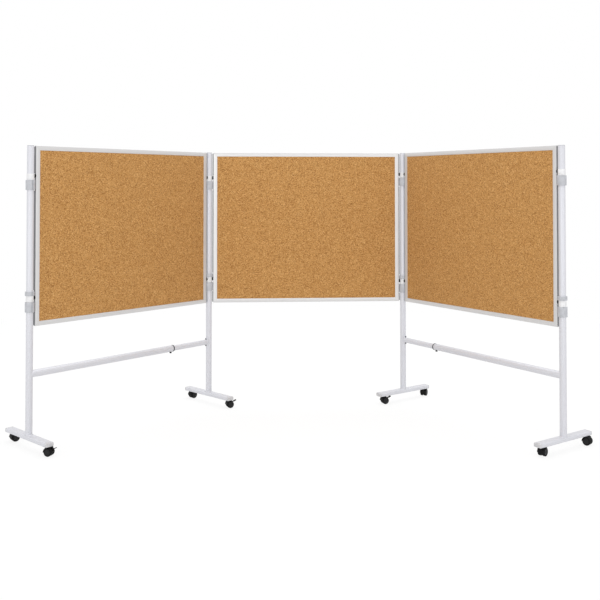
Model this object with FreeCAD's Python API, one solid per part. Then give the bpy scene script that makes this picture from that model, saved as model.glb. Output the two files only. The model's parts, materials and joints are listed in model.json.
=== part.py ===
import FreeCAD, Part
import math
import os
from FreeCAD import Placement, Rotation, Vector

# Folding mobile pinboard: three framed cork boards, the outer two on wheeled stands.
# Millimetres, +Z up. The origin is on the floor under the centre of the middle board,
# +X runs along the middle board to the right and -Y is the side that the wings fold to.

# Pose as photographed: each wing's angle out of the middle board's plane, in degrees
left_wing_angle = 44.0
right_wing_angle = 59.0

# Boards
board_width = 1500.0
board_height = 1200.0
board_bottom = 800.0
core_thick = 12.0
cork_thick = 3.0
cork_edge_gap = 0.3
frame_wall = 2.0
frame_lip = 3.8
frame_channel_depth = 8.0
frame_slot_depth = 18.0
frame_slot_clearance = 0.2
mitre_gap = 0.1

# Posts
post_diameter = 46.0
post_wall = 2.0
post_rise = 2.0
post_cap_head = 4.0
post_cap_plug = 15.0
post_cap_inset = 0.2

# Rings, collars and thumb screws that hang the boards on the posts
ring_wall = 2.0
ring_below = 28.0
ring_clearance = 0.1
stack_gap = 0.3
boss_radius = 7.0
boss_length = 4.5
thumb_radius = 14.0
thumb_length = 9.1
thumb_flutes = 16
thumb_flute_radius = 1.6
thumb_gap = 0.4
stud_radius = 4.0
stud_slot_play = 0.5
nut_gap = 0.2
nut_height = 18.0
collar_height = 66.0
stop_ring_height = 27.0
collar_frame_gap = 4.0
collar_chamfer = 2.0
collar_split = 3.0

# Where the thumb screws sit, from the board's top edge and from its bottom edge
left_screw_drop = 208.0
left_screw_rise = 190.0
right_screw_drop = 178.0
right_screw_rise = 165.0

# Telescopic crossbars
bar_height = 487.0
bar_step = 373.0
bar_travel = 200.0
bar_hold = 150.0
inner_bar_diameter = 40.0
bar_wall = 2.0
bush_wall = 1.8
bush_length = 50.0
bush_flange = 8.0
bush_flange_rise = 1.5
clamp_screw_inset = 14.0
clamp_screw_radius = 3.0
clamp_knob_radius = 8.0
clamp_knob_length = 10.0
clamp_knob_gap = 1.0
saddle_thick = 7.0
saddle_width = 34.0
saddle_margin = 12.0
saddle_screw_radius = 2.5
saddle_head_radius = 5.0
saddle_head_length = 4.0
saddle_screw_reach = 6.0

# Feet
foot_shoulder = 7.0
foot_height = 28.0
foot_corner = 8.0
foot_wall = 2.0
foot_overhang = 40.0
foot_cap_length = 12.0
foot_cap_round = 6.0
foot_cap_plug = 18.0
stem_offset = 220.0
socket_wall = 3.0

# Castors
wheel_diameter = 55.0
wheel_width = 18.0
wheel_edge_round = 4.0
wheel_inner_bevel = 1.0
wheel_ring_inset = 8.0
wheel_dish_depth = 2.0
wheel_hub_radius = 8.0
wheel_web_behind_bore = 4.0
wheel_side_gap = 0.5
castor_trail = 20.0
castor_web = 12.0
castor_web_floor_gap = 8.0
hood_gap = 1.2
hood_wall = 2.6
hood_start_angle = 58.0
hood_end_angle = 185.0
castor_neck = 2.7
neck_gap = 0.5
neck_wall = 4.0
stem_radius = 5.0
stem_grip = 20.0
stem_top_gap = 3.0
axle_radius = 3.0
lever_pivot_inset = 6.0
lever_pivot_angle = 40.0
lever_length = 38.0
lever_thick = 4.0
lever_arm_width = 6.0
lever_tab_width = 22.0
lever_tab_start = 11.0
lever_pin_radius = 2.0
lever_side_gap = 0.3
lever_foot_gap = 3.0
lever_travel = 25.0
lever_slot_margin = 3.0

# Clearances shared by all pieces
fixed_gap = 0.1
running_gap = 0.05

# Direction in which each castor's wheels trail behind its stem, in degrees from +X
castor_headings = {
    "left_outer_front": -20.0,
    "left_outer_rear": 35.0,
    "left_inner_front": 20.0,
    "left_inner_rear": 40.0,
    "right_inner_front": 15.0,
    "right_inner_rear": 60.0,
    "right_outer_front": 45.0,
    "right_outer_rear": -45.0,
}

# Sizes that follow from the ones above
board_top = board_bottom + board_height
frame_face = 2 * frame_wall + frame_channel_depth + frame_slot_depth
frame_depth = core_thick + 2 * (frame_slot_clearance + frame_lip)
channel_half_width = frame_depth / 2 - frame_wall
post_radius = post_diameter / 2
post_top = board_top + post_rise
ring_inner_radius = post_radius + ring_clearance
ring_outer_radius = ring_inner_radius + ring_wall
ring_above = thumb_radius
post_to_frame = ring_outer_radius + thumb_length + 2 * thumb_gap
collar_radius = post_to_frame - collar_frame_gap
wing_length = board_width + 2 * post_to_frame
inner_post_x = board_width / 2 + post_to_frame
inner_bar_radius = inner_bar_diameter / 2
outer_bar_bore = inner_bar_radius + ring_clearance + bush_wall + fixed_gap
outer_bar_radius = outer_bar_bore + bar_wall
saddle_half_height = inner_bar_radius + saddle_margin
saddle_screw_rise = inner_bar_radius + saddle_margin / 2
wheel_radius = wheel_diameter / 2
hood_inner_radius = wheel_radius + hood_gap
hood_outer_radius = hood_inner_radius + hood_wall
castor_half_width = castor_web / 2 + wheel_side_gap + wheel_width
castor_height = wheel_radius + hood_outer_radius + castor_neck
foot_width = post_diameter + 2 * foot_shoulder
foot_bottom = castor_height
foot_top = foot_bottom + foot_height
foot_half_length = stem_offset + foot_overhang
foot_tube_half = foot_half_length - foot_cap_length
stem_top = foot_top - foot_wall - stem_top_gap
socket_radius = stem_radius + running_gap + socket_wall
lever_pivot_radius = wheel_radius - lever_pivot_inset
lever_pivot_x = castor_trail + lever_pivot_radius * math.cos(math.radians(lever_pivot_angle))
lever_pivot_z = wheel_radius + lever_pivot_radius * math.sin(math.radians(lever_pivot_angle))
lever_tip_z = castor_height - lever_foot_gap - lever_thick / 2
lever_angle = math.degrees(math.asin((lever_tip_z - lever_pivot_z) / lever_length))

X = Vector(1, 0, 0)
Y = Vector(0, 1, 0)
Z = Vector(0, 0, 1)

# One stand per side: the heading of its board seen from the inner post, which way its
# front lies along its own Y, and the heights of its thumb screws
stands = {
    "left": {
        "post_x": -inner_post_x,
        "heading": 180.0 + left_wing_angle,
        "front": 1,
        "screw_heights": (board_bottom + left_screw_rise, board_top - left_screw_drop),
    },
    "right": {
        "post_x": inner_post_x,
        "heading": -right_wing_angle,
        "front": -1,
        "screw_heights": (board_bottom + right_screw_rise, board_top - right_screw_drop),
    },
}


def block(x0, x1, y0, y1, z0, z1):
    return Part.makeBox(x1 - x0, y1 - y0, z1 - z0, Vector(x0, y0, z0))


def rod(radius, start, direction, length):
    return Part.makeCylinder(radius, length, start, direction)


def tube(outer_radius, inner_radius, start, direction, length):
    return rod(outer_radius, start, direction, length).cut(rod(inner_radius, start, direction, length))


def prism(points, sweep):
    return Part.Face(Part.makePolygon(points + points[:1])).extrude(sweep)


def moved(shape, offset=Vector(), turn=0.0):
    copy = shape.copy()
    copy.Placement = Placement(offset, Rotation(Z, turn)).multiply(copy.Placement)
    return copy


def to_stand(shape, side):
    stand = stands[side]
    return moved(shape, Vector(stand["post_x"], 0, 0), stand["heading"])


def group(shapes):
    return Part.makeCompound(shapes)


def rounded_bar(width, height, corner, y0, y1):
    half = width / 2 - corner
    rise = height / 2 - corner
    slant = corner * math.sqrt(0.5)
    edges = []
    for turn in range(4):
        flat, up = (half, rise) if turn % 2 == 0 else (rise, half)
        start = Vector(flat, 0, up + corner)
        middle = Vector(flat + slant, 0, up + slant)
        end = Vector(flat + corner, 0, up)
        following = Vector(flat + corner, 0, -up)
        around = Rotation(Y, 90.0 * turn)
        start, middle, end, following = [around.multVec(p) for p in (start, middle, end, following)]
        edges.append(Part.Arc(start, middle, end).toShape())
        edges.append(Part.LineSegment(end, following).toShape())
    bar = Part.Face(Part.Wire(edges)).extrude(Y * (y1 - y0))
    bar.translate(Y * y0)
    return bar


# Boards, drawn about their own centre with X along the width

def frame_member(length):
    half_depth = frame_depth / 2
    slot_half = core_thick / 2 + frame_slot_clearance
    slot_floor = frame_face - frame_slot_depth
    channel_floor = frame_wall + frame_channel_depth
    mouth_half = stud_radius + stud_slot_play
    upper_half = [
        (0, half_depth), (frame_face, half_depth), (frame_face, slot_half), (slot_floor, slot_half),
    ]
    channel = [
        (0, -mouth_half), (frame_wall, -mouth_half), (frame_wall, -channel_half_width),
        (channel_floor, -channel_half_width),
    ]
    lower_half = [(inward, -across) for inward, across in reversed(upper_half)]
    channel_back = [(inward, -across) for inward, across in reversed(channel)]
    outline = upper_half + lower_half + channel + channel_back
    points = [Vector(-length / 2, across, inward) for inward, across in outline]
    member = prism(points, X * length)
    reach = length / 2 - mitre_gap
    mitre = [
        Vector(-reach, -half_depth, 0), Vector(reach, -half_depth, 0),
        Vector(reach - frame_face, -half_depth, frame_face),
        Vector(frame_face - reach, -half_depth, frame_face),
    ]
    return member.common(prism(mitre, Y * frame_depth))


def board_frame():
    members = []
    for quarter in range(4):
        length, reach = (board_width, board_height) if quarter % 2 == 0 else (board_height, board_width)
        member = frame_member(length)
        member.translate(Z * (-reach / 2))
        member.rotate(Vector(), Y, 90.0 * quarter)
        members.append(member)
    return group(members)


def board_core():
    inset = frame_face - frame_slot_depth + cork_edge_gap
    half_width = board_width / 2 - inset
    half_height = board_height / 2 - inset
    return block(-half_width, half_width, -core_thick / 2, core_thick / 2, -half_height, half_height)


def board_cork():
    half_width = board_width / 2 - frame_face - cork_edge_gap
    half_height = board_height / 2 - frame_face - cork_edge_gap
    inner = core_thick / 2
    outer = inner + cork_thick
    front = block(-half_width, half_width, -outer, -inner, -half_height, half_height)
    back = block(-half_width, half_width, inner, outer, -half_height, half_height)
    return group([front, back])


# Pieces on a post, drawn with the post's axis on Z and the board towards +X

def post_ring(low, high):
    boss_start = ring_outer_radius + thumb_gap
    ring = tube(ring_outer_radius, ring_inner_radius, Z * low, Z, high - low)
    root_start = ring_inner_radius + fixed_gap
    root = rod(boss_radius, X * root_start, X, boss_start - root_start)
    root = root.common(block(0, boss_start, -boss_radius, boss_radius, low, high))
    boss = rod(boss_radius, X * boss_start, X, boss_length)
    socket = rod(stud_radius + fixed_gap, X * boss_start, X, boss_length)
    return ring.fuse([root, boss]).removeSplitter().cut(socket)


def thumb_screw():
    start = ring_outer_radius + thumb_gap
    wheel = rod(thumb_radius, X * start, X, thumb_length)
    for flute in range(thumb_flutes):
        angle = 2 * math.pi * flute / thumb_flutes
        spot = Vector(start, thumb_radius * math.cos(angle), thumb_radius * math.sin(angle))
        wheel = wheel.cut(rod(thumb_flute_radius, spot, X, thumb_length))
    wheel = wheel.cut(rod(boss_radius + thumb_gap, X * start, X, boss_length + thumb_gap))
    stud_end = post_to_frame + frame_wall + frame_channel_depth - nut_gap
    stud = rod(stud_radius, X * (start + thumb_gap), X, stud_end - start - thumb_gap)
    return wheel.fuse(stud)


def slot_nut():
    start = post_to_frame + frame_wall + nut_gap
    end = post_to_frame + frame_wall + frame_channel_depth - nut_gap
    half = channel_half_width - nut_gap
    nut = block(start, end, -half, half, -nut_height / 2, nut_height / 2)
    return nut.cut(rod(stud_radius + fixed_gap, X * start, X, end - start))


def collar(low, high):
    inner = post_radius + fixed_gap
    ring = tube(collar_radius, inner, Z * low, Z, high - low)
    rims = [edge for edge in ring.Edges if abs(edge.BoundBox.XLength - 2 * collar_radius) < 0.01
            and edge.BoundBox.ZLength < 0.01]
    ring = ring.makeChamfer(collar_chamfer, rims)
    split = collar_split / 2
    return ring.cut(block(-split, split, -collar_radius, 0, low, high))


def at_screws(side, shape):
    return [shape.translated(Z * height) for height in stands[side]["screw_heights"]]


def collars(side):
    lower, upper = stands[side]["screw_heights"]
    collar_top = -ring_below - stack_gap
    stop_start = ring_above + stack_gap
    pieces = at_screws(side, collar(collar_top - collar_height, collar_top))
    stop = collar(stop_start, stop_start + stop_ring_height)
    return group(pieces + [stop.translated(Z * lower)])


def fixings(side):
    return at_screws(side, thumb_screw()) + at_screws(side, slot_nut())


# Stands, drawn with the inner post on Z and the board towards +X

def post(bar_screws):
    start = foot_bottom + foot_wall + fixed_gap
    body = tube(post_radius, post_radius - post_wall, Z * start, Z, post_top - post_cap_head - start)
    for rise in (-saddle_screw_rise, saddle_screw_rise) if bar_screws else ():
        body = body.cut(rod(saddle_screw_radius + fixed_gap, Z * (bar_height + rise), X, post_radius))
    return body


def post_cap():
    head_start = post_top - post_cap_head
    head = rod(post_radius - post_cap_inset, Z * head_start, Z, post_cap_head)
    rim = [edge for edge in head.Edges if edge.BoundBox.ZMin > post_top - 0.01]
    head = head.makeFillet(post_cap_head / 2, rim)
    plug = rod(post_radius - post_wall - fixed_gap, Z * (head_start - post_cap_plug), Z, post_cap_plug)
    return head.fuse(plug)


def foot():
    middle = (foot_bottom + foot_top) / 2
    bore_corner = foot_corner - foot_wall
    bore_width = foot_width - 2 * foot_wall
    bore_height = foot_height - 2 * foot_wall
    body = rounded_bar(foot_width, foot_height, foot_corner, -foot_tube_half, foot_tube_half)
    body = body.cut(rounded_bar(bore_width, bore_height, bore_corner, -foot_tube_half, foot_tube_half))
    body.translate(Z * middle)
    body = body.cut(rod(post_radius + fixed_gap, Z * middle, Z, foot_height))
    for y in (-stem_offset, stem_offset):
        seat = Vector(0, y, foot_bottom)
        body = body.fuse(rod(socket_radius, seat + Z * foot_wall, Z, foot_height - 2 * foot_wall))
        body = body.cut(rod(stem_radius + running_gap, seat, Z, stem_top + running_gap - foot_bottom))
    return body.removeSplitter()


def foot_cap():
    middle = (foot_bottom + foot_top) / 2
    end = foot_half_length
    head = rounded_bar(foot_width, foot_height, foot_corner, foot_tube_half, end)
    rim = [edge for edge in head.Edges if edge.BoundBox.YMin > end - 0.01]
    head = head.makeFillet(min(foot_cap_round, foot_corner * 0.9), rim)
    plug_start = foot_tube_half - foot_cap_plug
    plug_width = foot_width - 2 * (foot_wall + fixed_gap)
    plug_height = foot_height - 2 * (foot_wall + fixed_gap)
    plug_corner = foot_corner - foot_wall - fixed_gap
    plug = rounded_bar(plug_width, plug_height, plug_corner, plug_start, foot_tube_half)
    cap = head.fuse(plug)
    cap.translate(Z * middle)
    return cap


def end_caps():
    other = foot_cap()
    other.rotate(Vector(), Z, 180)
    return group([post_cap(), foot_cap(), other])


def inner_bar():
    axis = Z * bar_height
    face = post_radius + saddle_thick
    end = bar_step + bar_travel + bar_hold
    saddle = block(0, face, -saddle_width / 2, saddle_width / 2, -saddle_half_height, saddle_half_height)
    saddle = saddle.translated(axis)
    seat = axis - Z * saddle_half_height
    saddle = saddle.cut(rod(post_radius + fixed_gap, seat, Z, 2 * saddle_half_height))
    body = saddle.fuse(tube(inner_bar_radius, inner_bar_radius - bar_wall, axis + X * face, X, end - face))
    screws = []
    for rise in (-saddle_screw_rise, saddle_screw_rise):
        spot = axis + Z * rise
        shank_start = post_radius - saddle_screw_reach
        body = body.cut(rod(saddle_screw_radius + fixed_gap, spot, X, face))
        shank = rod(saddle_screw_radius, spot + X * shank_start, X, face - shank_start)
        screws.append(shank.fuse(rod(saddle_head_radius, spot + X * face, X, saddle_head_length)))
    return group([body] + screws)


def outer_bar():
    axis = Z * bar_height
    body = tube(outer_bar_radius, outer_bar_bore, axis + X * bar_step, X, wing_length - bar_step)
    cope = rod(post_radius + fixed_gap, axis + X * wing_length - Z * post_diameter, Z, 2 * post_diameter)
    far_side = block(wing_length, wing_length + post_diameter, -post_diameter, post_diameter, 0, board_bottom)
    spot = axis + X * (bar_step + clamp_screw_inset)
    screw_hole = rod(clamp_screw_radius + fixed_gap, spot, -Z, post_diameter)
    return body.cut([cope, far_side, screw_hole])


def bar_clamp():
    axis = Z * bar_height
    sleeve_end = bar_step + bush_length
    flange_start = axis + X * (bar_step - bush_flange)
    bush_radius = outer_bar_bore - fixed_gap
    bush = rod(outer_bar_radius + bush_flange_rise, flange_start, X, bush_flange)
    bush = bush.fuse(rod(bush_radius, axis + X * bar_step, X, bush_length))
    bush = bush.cut(rod(inner_bar_radius + ring_clearance, flange_start, X, sleeve_end))
    spot = axis + X * (bar_step + clamp_screw_inset)
    bush = bush.cut(rod(clamp_screw_radius + fixed_gap, spot, -Z, outer_bar_radius))
    shank_start = inner_bar_radius + stack_gap
    knob_start = outer_bar_radius + clamp_knob_gap
    shank = rod(clamp_screw_radius, spot - Z * shank_start, -Z, knob_start - shank_start)
    knob = rod(clamp_knob_radius, spot - Z * knob_start, -Z, clamp_knob_length)
    return group([bush, shank.fuse(knob)])


# Castors, drawn with the stem on Z, the floor at zero and the wheels trailing towards +X

def castor_hood():
    centre = Vector(castor_trail, 0, wheel_radius)
    swing = hood_end_angle - hood_start_angle
    half_web = castor_web / 2

    def sector(inner, outer, half_width):
        face = Part.Face(Part.makePolygon([
            Vector(inner, -half_width, 0), Vector(outer, -half_width, 0),
            Vector(outer, half_width, 0), Vector(inner, half_width, 0), Vector(inner, -half_width, 0),
        ]))
        face.rotate(Vector(), -Y, hood_start_angle)
        return face.revolve(Vector(), -Y, swing).translated(centre)

    shell = sector(hood_inner_radius, hood_outer_radius, castor_half_width)
    rib = sector(wheel_radius / 2, hood_outer_radius - hood_wall / 2, half_web)
    web = rod(wheel_radius - hood_gap, centre - Y * half_web, Y, castor_web)
    web = web.cut(block(-castor_height, castor_height, -half_web, half_web, 0, castor_web_floor_gap))
    neck_top = castor_height - neck_gap
    neck = rod(stem_radius + neck_wall, Z * wheel_radius, Z, neck_top - wheel_radius)
    neck = neck.cut(rod(hood_inner_radius, centre - Y * castor_half_width, Y, 2 * castor_half_width))
    hood = shell.fuse([rib, web, neck])
    stem_start = neck_top - stem_grip
    hood = hood.cut(rod(stem_radius + running_gap, Z * stem_start, Z, stem_grip))
    hood = hood.cut(rod(axle_radius + running_gap, centre - Y * half_web, Y, castor_web))
    stem = rod(stem_radius, Z * stem_start, Z, stem_top - stem_start)
    half_axle = castor_half_width - wheel_web_behind_bore - wheel_dish_depth
    axle = rod(axle_radius, centre - Y * half_axle, Y, 2 * half_axle)
    return hood.removeSplitter(), stem, axle


def lever_direction(angle):
    return Vector(math.cos(math.radians(angle)), 0, math.sin(math.radians(angle)))


def cut_for_lever(hood):
    pivot = Vector(lever_pivot_x, 0, lever_pivot_z)
    slot_half = lever_arm_width / 2 + lever_side_gap
    room = lever_thick / 2 + lever_side_gap
    upper_angle = lever_angle + lever_slot_margin
    lower_angle = lever_angle - lever_travel - lever_slot_margin
    side = pivot - Y * slot_half
    upper = side + lever_direction(upper_angle + 90) * room
    lower = side + lever_direction(lower_angle - 90) * room
    upper_end = upper + lever_direction(upper_angle) * lever_length
    lower_end = lower + lever_direction(lower_angle) * lever_length
    swing = prism([upper, upper_end, lower_end, lower], Y * 2 * slot_half)
    relief = rod(lever_pivot_inset, side, Y, 2 * slot_half)
    pin_hole = rod(lever_pin_radius + running_gap, pivot - Y * castor_web, Y, 2 * castor_web)
    return hood.cut([swing, relief, pin_hole])


def brake_lever():
    arm = block(0, lever_length, -lever_arm_width / 2, lever_arm_width / 2, -lever_thick / 2, lever_thick / 2)
    half_tab = lever_tab_width / 2
    tab = block(lever_tab_start, lever_length, -half_tab, half_tab, -lever_thick / 2, lever_thick / 2)
    corners = [edge for edge in tab.Edges if edge.BoundBox.XMin > lever_length - 0.01
               and edge.BoundBox.YLength < 0.01]
    tab = tab.makeFillet(lever_thick, corners)
    root = rod(lever_thick - lever_side_gap, -Y * (lever_arm_width / 2), Y, lever_arm_width)
    half_pin = castor_web / 2 - lever_side_gap
    pin = rod(lever_pin_radius, -Y * half_pin, Y, 2 * half_pin)
    lever = arm.fuse([tab, root, pin]).removeSplitter()
    lever.rotate(Vector(), -Y, lever_angle)
    return lever.translated(Vector(lever_pivot_x, 0, lever_pivot_z))


def castor_wheels():
    inner = castor_web / 2 + wheel_side_gap
    outer = inner + wheel_width
    bore = axle_radius + running_gap
    bore_end = outer - wheel_dish_depth - wheel_web_behind_bore + wheel_side_gap
    rim = wheel_radius - wheel_edge_round
    dish_radius = wheel_radius - wheel_ring_inset
    dish = outer - wheel_dish_depth
    corner = wheel_edge_round * (1 - math.sqrt(0.5))
    lead = [
        Vector(0, bore_end, 0), Vector(bore, bore_end, 0), Vector(bore, inner, 0),
        Vector(wheel_radius - wheel_inner_bevel, inner, 0),
        Vector(wheel_radius, inner + wheel_inner_bevel, 0),
        Vector(wheel_radius, outer - wheel_edge_round, 0),
    ]
    trail = [
        Vector(rim, outer, 0), Vector(dish_radius, outer, 0), Vector(dish_radius - wheel_dish_depth, dish, 0),
        Vector(wheel_hub_radius, dish, 0), Vector(wheel_hub_radius - wheel_dish_depth, outer, 0),
        Vector(0, outer, 0), lead[0],
    ]
    bend = Part.Arc(lead[-1], Vector(wheel_radius - corner, outer - corner, 0), trail[0]).toShape()
    runs = Part.makePolygon(lead).Edges + [bend] + Part.makePolygon(trail).Edges
    wheel = Part.Face(Part.Wire(runs)).revolve(Vector(), Y, 360)
    other = wheel.copy()
    other.rotate(Vector(), Z, 180)
    centre = Vector(castor_trail, 0, wheel_radius)
    return group([wheel.translated(centre), other.translated(centre)])


def stand_point(side, along, across):
    stand = stands[side]
    local = Rotation(Z, stand["heading"]).multVec(Vector(along, across * stand["front"], 0))
    return local + X * stand["post_x"]


def castor_places():
    posts = {"inner": 0.0, "outer": wing_length}
    ends = {"front": stem_offset, "rear": -stem_offset}
    places = {}
    for side in stands:
        for post_name, along in posts.items():
            for end_name, across in ends.items():
                name = f"{side}_{post_name}_{end_name}"
                places[name] = (stand_point(side, along, across), castor_headings[name])
    return places


def add_board(nodes, side, place):
    nodes[f"{side}_board_frame"] = place(board_frame())
    nodes[f"{side}_board_core"] = place(board_core())
    nodes[f"{side}_board_cork"] = place(board_cork())


def add_middle_board(nodes):
    board_centre = Z * (board_bottom + board_height / 2)
    add_board(nodes, "middle", lambda shape: moved(shape, board_centre))
    rings = []
    screws = []
    ring = post_ring(stack_gap / 2, ring_above)
    for side, turn in (("left", 0.0), ("right", 180.0)):
        post_place = X * stands[side]["post_x"]
        rings += [moved(piece, post_place, turn) for piece in at_screws(side, ring)]
        screws += [moved(piece, post_place, turn) for piece in fixings(side)]
    nodes["middle_board_rings"] = group(rings)
    nodes["middle_board_screws"] = group(screws)


def add_stand(nodes, side):
    board_centre = Vector(wing_length / 2, 0, board_bottom + board_height / 2)
    outer_post = X * wing_length
    inner_rings = at_screws(side, post_ring(-ring_below, -stack_gap / 2))
    outer_rings = at_screws(side, post_ring(-ring_below, ring_above))
    outer_screws = [moved(piece, outer_post, 180) for piece in fixings(side)]
    add_board(nodes, side, lambda shape: to_stand(moved(shape, board_centre), side))
    pieces = {
        "board_screws": group(fixings(side) + outer_screws),
        "inner_board_rings": group(inner_rings),
        "inner_collars": collars(side),
        "inner_post": post(True),
        "inner_foot": foot(),
        "inner_end_caps": end_caps(),
        "inner_bar": inner_bar(),
        "outer_board_rings": group([moved(ring, outer_post, 180) for ring in outer_rings]),
        "outer_collars": moved(collars(side), outer_post, 180),
        "outer_post": moved(post(False), outer_post),
        "outer_foot": moved(foot(), outer_post),
        "outer_end_caps": moved(end_caps(), outer_post),
        "outer_bar": outer_bar(),
        "bar_clamp": bar_clamp(),
    }
    for name, shape in pieces.items():
        nodes[f"{side}_{name}"] = to_stand(shape, side)


def add_castors(nodes):
    hood, stem, axle = castor_hood()
    braked_hood = cut_for_lever(hood)
    wheels = castor_wheels()
    lever = brake_lever()
    for name, (spot, heading) in castor_places().items():
        braked = name.endswith("front")
        fork = group([braked_hood if braked else hood, stem, axle])
        nodes[f"{name}_castor"] = moved(fork, spot, heading)
        nodes[f"{name}_wheels"] = moved(wheels, spot, heading)
        if braked:
            nodes[f"{name}_brake_lever"] = moved(lever, spot, heading)


def build():
    nodes = {}
    add_middle_board(nodes)
    for side in stands:
        add_stand(nodes, side)
    add_castors(nodes)
    return nodes


nodes = build()
os.makedirs("parts", exist_ok=True)
for name, shape in nodes.items():
    if not shape.isValid():
        print("not valid:", name)
    shape.exportStep(f"parts/{name}.step")
print(len(nodes), "nodes,", sum(len(shape.Solids) for shape in nodes.values()), "solids")
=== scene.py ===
import json
import math
import bmesh
import bpy
from mathutils import Matrix, Vector


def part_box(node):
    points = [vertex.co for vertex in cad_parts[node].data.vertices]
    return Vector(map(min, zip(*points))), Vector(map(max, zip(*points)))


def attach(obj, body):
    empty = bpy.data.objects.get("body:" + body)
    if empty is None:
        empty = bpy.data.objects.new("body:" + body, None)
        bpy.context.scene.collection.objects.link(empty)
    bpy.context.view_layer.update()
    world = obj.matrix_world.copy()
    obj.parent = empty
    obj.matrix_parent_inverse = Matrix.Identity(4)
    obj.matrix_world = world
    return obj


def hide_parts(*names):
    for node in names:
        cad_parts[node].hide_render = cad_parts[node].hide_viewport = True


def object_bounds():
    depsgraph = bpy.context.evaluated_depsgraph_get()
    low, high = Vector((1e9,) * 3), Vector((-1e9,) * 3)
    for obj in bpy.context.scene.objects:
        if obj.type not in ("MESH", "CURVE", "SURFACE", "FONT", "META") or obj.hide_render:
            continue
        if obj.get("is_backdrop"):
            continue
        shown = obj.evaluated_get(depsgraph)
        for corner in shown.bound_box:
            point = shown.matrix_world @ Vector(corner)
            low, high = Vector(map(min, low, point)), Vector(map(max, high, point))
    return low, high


# Folding pinboard: three framed cork boards on two wheeled stands, in metres around the frame

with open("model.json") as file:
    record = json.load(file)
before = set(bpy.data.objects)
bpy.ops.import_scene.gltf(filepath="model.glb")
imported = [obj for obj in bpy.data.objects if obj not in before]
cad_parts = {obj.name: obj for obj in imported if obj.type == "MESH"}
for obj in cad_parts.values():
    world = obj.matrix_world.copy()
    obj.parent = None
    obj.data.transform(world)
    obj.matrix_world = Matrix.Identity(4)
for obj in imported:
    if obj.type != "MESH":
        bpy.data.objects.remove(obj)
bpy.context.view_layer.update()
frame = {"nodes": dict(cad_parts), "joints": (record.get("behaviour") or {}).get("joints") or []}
joints = {joint["name"]: joint for joint in frame["joints"]}
scene = bpy.context.scene
tiny = 1e-5      # coordinates closer than this count as equal


def shift(x=0.0, y=0.0, z=0.0):
    return Matrix.Translation((x, y, z))


def turn(degrees, axis="Z"):
    return Matrix.Rotation(math.radians(degrees), 4, axis)


def jointPoint(name):
    return Vector(joints[name]["pos_m"])


def heading(along):
    return Matrix.Rotation(math.atan2(along.y, along.x), 4, "Z")


def standPlace(side):
    along = Vector(joints[f"{side}_bar_slide"]["axis"])
    return Matrix.Translation(jointPoint(f"{side}_wing_hinge")) @ heading(along)


def castorPlace(name):
    stem = jointPoint(f"{name}_swivel")
    return Matrix.Translation(stem) @ heading(jointPoint(f"{name}_roll") - stem)


outerStems = [jointPoint(f"left_outer_{end}_swivel") for end in ("front", "rear")]
wingLength = (sum(outerStems, Vector()) / 2 - jointPoint("left_wing_hinge")).length
stemOffset = (outerStems[0] - outerStems[1]).length / 2
stands = {side: standPlace(side) for side in ("left", "right")}
outerPosts = {side: stands[side] @ shift(wingLength) for side in stands}


# Finishes: noise entries are scale, detail and roughness; relief entries are strength and metres

def startFinish(name, colour, roughness, **sockets):
    finish = bpy.data.materials.new(name)
    finish.use_nodes = True
    shader = finish.node_tree.nodes["Principled BSDF"]
    shader.inputs["Base Color"].default_value = (*colour, 1.0)
    shader.inputs["Roughness"].default_value = roughness
    for socket, value in sockets.items():
        shader.inputs[socket.replace("_", " ")].default_value = value
    return finish, finish.node_tree, shader


def addNode(tree, kind, inputs=None, **settings):
    made = tree.nodes.new(kind)
    for name, value in settings.items():
        setattr(made, name, value)
    for name, value in (inputs or {}).items():
        made.inputs[name].default_value = value
    return made


def link(tree, source, target):
    tree.links.new(source, target)


def objectPoint(tree):
    return addNode(tree, "ShaderNodeTexCoord").outputs["Object"]


def ramp(tree, source, stops):
    made = addNode(tree, "ShaderNodeValToRGB")
    steps = made.color_ramp.elements
    for index, (place, colour) in enumerate(stops):
        step = steps[index] if index < 2 else steps.new(place)      # a ramp starts with two
        step.position = place
        step.color = (*colour, 1.0)
    link(tree, source, made.inputs["Fac"])
    return made.outputs["Color"]


def spread(tree, source, low, high):
    made = addNode(tree, "ShaderNodeMapRange", {"To Min": low, "To Max": high})
    link(tree, source, made.inputs["Value"])
    return made.outputs["Result"]


def combined(tree, operation, first, second):
    made = addNode(tree, "ShaderNodeMath", operation=operation)
    link(tree, first, made.inputs[0])
    link(tree, second, made.inputs[1])
    return made.outputs["Value"]


def mixed(tree, factor, first, second, blend="MIX"):
    made = addNode(tree, "ShaderNodeMix", data_type="RGBA", blend_type=blend)
    for source, index in ((factor, 0), (first, 6), (second, 7)):      # 6 and 7 are the colours
        if isinstance(source, bpy.types.NodeSocket):
            link(tree, source, made.inputs[index])
        else:
            made.inputs[index].default_value = source
    return made.outputs[2]


def bumped(tree, shader, height, strength, distance):
    made = addNode(tree, "ShaderNodeBump", {"Strength": strength, "Distance": distance})
    link(tree, height, made.inputs["Height"])
    link(tree, made.outputs["Normal"], shader.inputs["Normal"])


def noise(tree, point, scale, detail=2.0, roughness=0.5):
    inputs = {"Scale": scale, "Detail": detail, "Roughness": roughness}
    made = addNode(tree, "ShaderNodeTexNoise", inputs)
    link(tree, point, made.inputs["Vector"])
    return made.outputs["Fac"]


def grains(tree, point, scale, feature="F1"):
    made = addNode(tree, "ShaderNodeTexVoronoi", {"Scale": scale, "Randomness": 1.0}, feature=feature)
    link(tree, point, made.inputs["Vector"])
    return made


def redOf(tree, colour):
    made = addNode(tree, "ShaderNodeSeparateColor")
    link(tree, colour, made.inputs["Color"])
    return made.outputs["Red"]


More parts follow.
